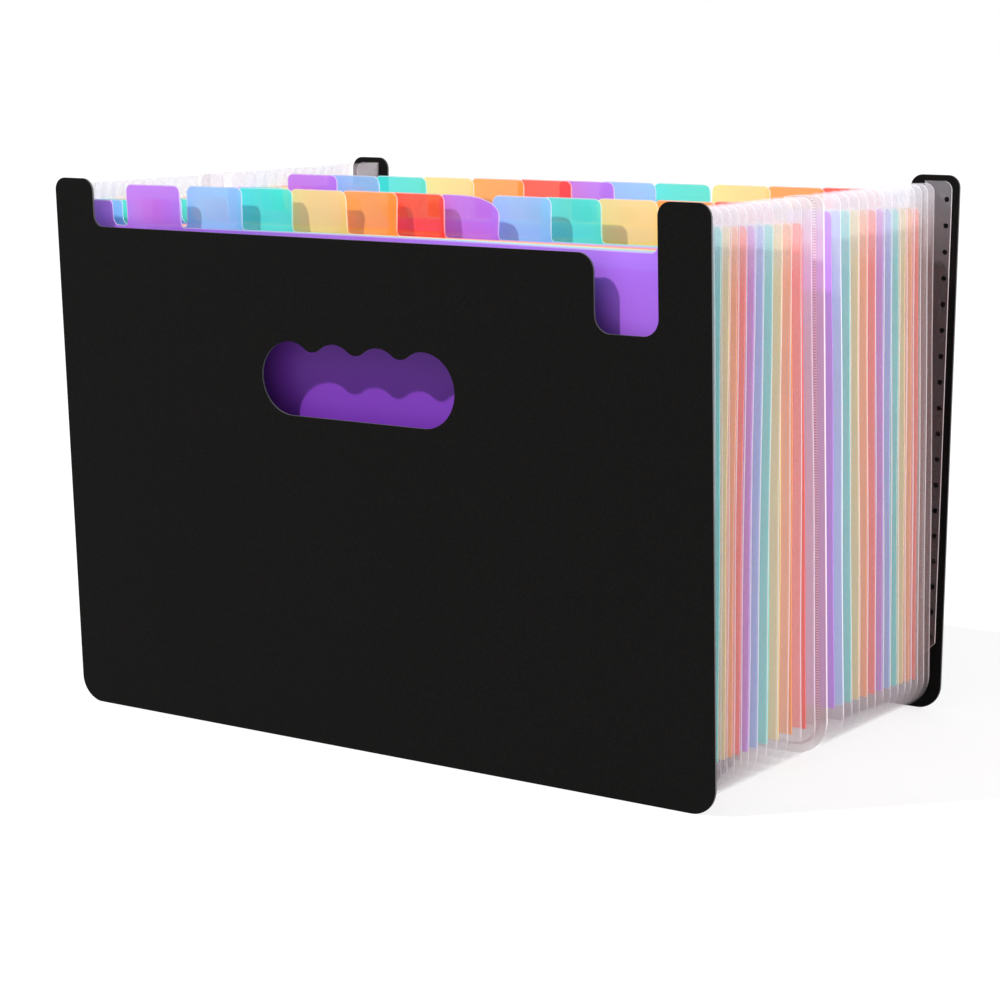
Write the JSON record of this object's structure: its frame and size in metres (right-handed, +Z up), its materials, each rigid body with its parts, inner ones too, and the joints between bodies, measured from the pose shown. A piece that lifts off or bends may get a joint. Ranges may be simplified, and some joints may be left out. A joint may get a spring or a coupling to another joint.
{
  "type": "expanding file folder",
  "caption": "Free-standing expanding file folder with black covers, a clear pleated bellows, coloured dividers with stepped tabs, a scalloped grip hole and a notched front.",
  "frame": {"origin": "on the table, under the middle of the open folder", "axes": "+X along the front cover to the right, +Y from the front cover to the rear cover, +Z up"},
  "size_m": [0.33, 0.2118, 0.235],
  "materials": {
    "cover_board": "fine embossed matte polypropylene board",
    "bellows_film": "clear frosted polypropylene film",
    "divider_violet": "translucent coloured polypropylene sheet, violet",
    "divider_blue": "translucent coloured polypropylene sheet, blue",
    "divider_teal": "translucent coloured polypropylene sheet, teal",
    "divider_yellow": "translucent coloured polypropylene sheet, yellow",
    "divider_orange": "translucent coloured polypropylene sheet, orange",
    "divider_red": "translucent coloured polypropylene sheet, red"
  },
  "bodies": {
    "root": {"front_cover": "cover_board", "rear_cover": "cover_board", "front_bellows": "bellows_film", "rear_bellows": "bellows_film", "divider_01_violet": "divider_violet", "divider_02_blue": "divider_blue", "divider_03_teal": "divider_teal", "divider_04_yellow": "divider_yellow", "divider_05_orange": "divider_orange", "divider_06_red": "divider_red", "divider_07_violet": "divider_violet", "divider_08_blue": "divider_blue", "divider_09_teal": "divider_teal", "divider_10_yellow": "divider_yellow", "divider_11_orange": "divider_orange", "divider_12_red": "divider_red", "divider_13_violet": "divider_violet", "divider_14_blue": "divider_blue", "divider_15_teal": "divider_teal", "divider_16_yellow": "divider_yellow", "divider_17_orange": "divider_orange", "divider_18_red": "divider_red", "divider_19_violet": "divider_violet", "divider_20_blue": "divider_blue", "divider_21_teal": "divider_teal", "divider_22_yellow": "divider_yellow", "divider_23_orange": "divider_orange", "divider_24_red": "divider_red"}
  },
  "joints": []
}
